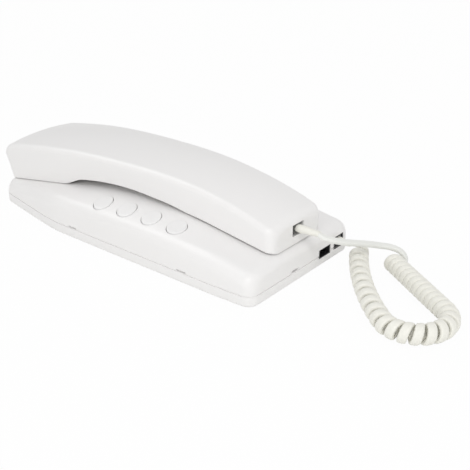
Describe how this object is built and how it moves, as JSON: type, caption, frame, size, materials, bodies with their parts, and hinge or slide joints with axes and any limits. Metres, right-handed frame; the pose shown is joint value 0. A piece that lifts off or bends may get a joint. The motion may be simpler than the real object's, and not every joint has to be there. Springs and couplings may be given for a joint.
{
  "type": "slimline wall phone",
  "caption": "Slimline wall telephone: a crowned handset resting on a low tapered base with push buttons on one side, joined by a curly cord that plugs in at both ends.",
  "frame": {"origin": "centre of the base's flat back face", "axes": "+X towards the end with the cord jacks, -Y towards the buttons, +Z out of the wall"},
  "size_m": [0.3199, 0.098, 0.0522],
  "materials": {
    "white_abs": "satin white moulded plastic",
    "button_white": "satin white moulded plastic",
    "cord_ivory": "soft ivory vinyl",
    "jack_black": "dark moulded plastic",
    "circuit_board": "green solder mask",
    "components": "dark component bodies",
    "brass_disc": "plain brass",
    "zinc_steel": "zinc-plated steel",
    "capsule_steel": "plain drawn metal",
    "foam_grey": "soft grey rubber"
  },
  "bodies": {
    "base": {"rear_housing": "white_abs", "front_cover": "white_abs", "circuit_board": "circuit_board", "board_screws": "zinc_steel", "board_parts": "components", "tact_switches": "components", "hook_switch": "components", "ringer": "brass_disc", "base_jack": "jack_black", "line_jack": "jack_black", "base_plug": "cord_ivory", "cord_base_lead": "cord_ivory", "cord_coil": "cord_ivory", "cord_handset_lead": "cord_ivory"},
    "handset": {"handset_shell": "white_abs", "handset_face": "white_abs", "handset_screws": "zinc_steel", "receiver_capsule": "capsule_steel", "receiver_gasket": "foam_grey", "microphone_capsule": "capsule_steel", "microphone_boot": "foam_grey", "handset_jack": "jack_black", "handset_plug": "cord_ivory"},
    "hook": {"hook_plunger": "white_abs"},
    "button_1_body": {"button_1": "button_white"},
    "button_2_body": {"button_2": "button_white"},
    "button_3_body": {"button_3": "button_white"},
    "button_4_body": {"button_4": "button_white"}
  },
  "joints": [
    {"name": "handset_lift", "type": "slide", "parent": "base", "child": "handset", "axis": [0, 0, 1], "range_m": [0, 0.04]},
    {"name": "hook_rise", "type": "slide", "parent": "base", "child": "hook", "axis": [0, 0, 1], "range_m": [0, 0.003]},
    {"name": "button_1_press", "type": "slide", "parent": "base", "child": "button_1_body", "axis": [0, 0, -1], "range_m": [0, 0.0012], "stiffness_N_per_m": 600},
    {"name": "button_2_press", "type": "slide", "parent": "base", "child": "button_2_body", "axis": [0, 0, -1], "range_m": [0, 0.0012], "stiffness_N_per_m": 600},
    {"name": "button_3_press", "type": "slide", "parent": "base", "child": "button_3_body", "axis": [0, 0, -1], "range_m": [0, 0.0012], "stiffness_N_per_m": 600},
    {"name": "button_4_press", "type": "slide", "parent": "base", "child": "button_4_body", "axis": [0, 0, -1], "range_m": [0, 0.0012], "stiffness_N_per_m": 600}
  ],
  "couplings": [
    {"joint": "hook_rise", "follows": "handset_lift", "ratio": 0.075}
  ]
}
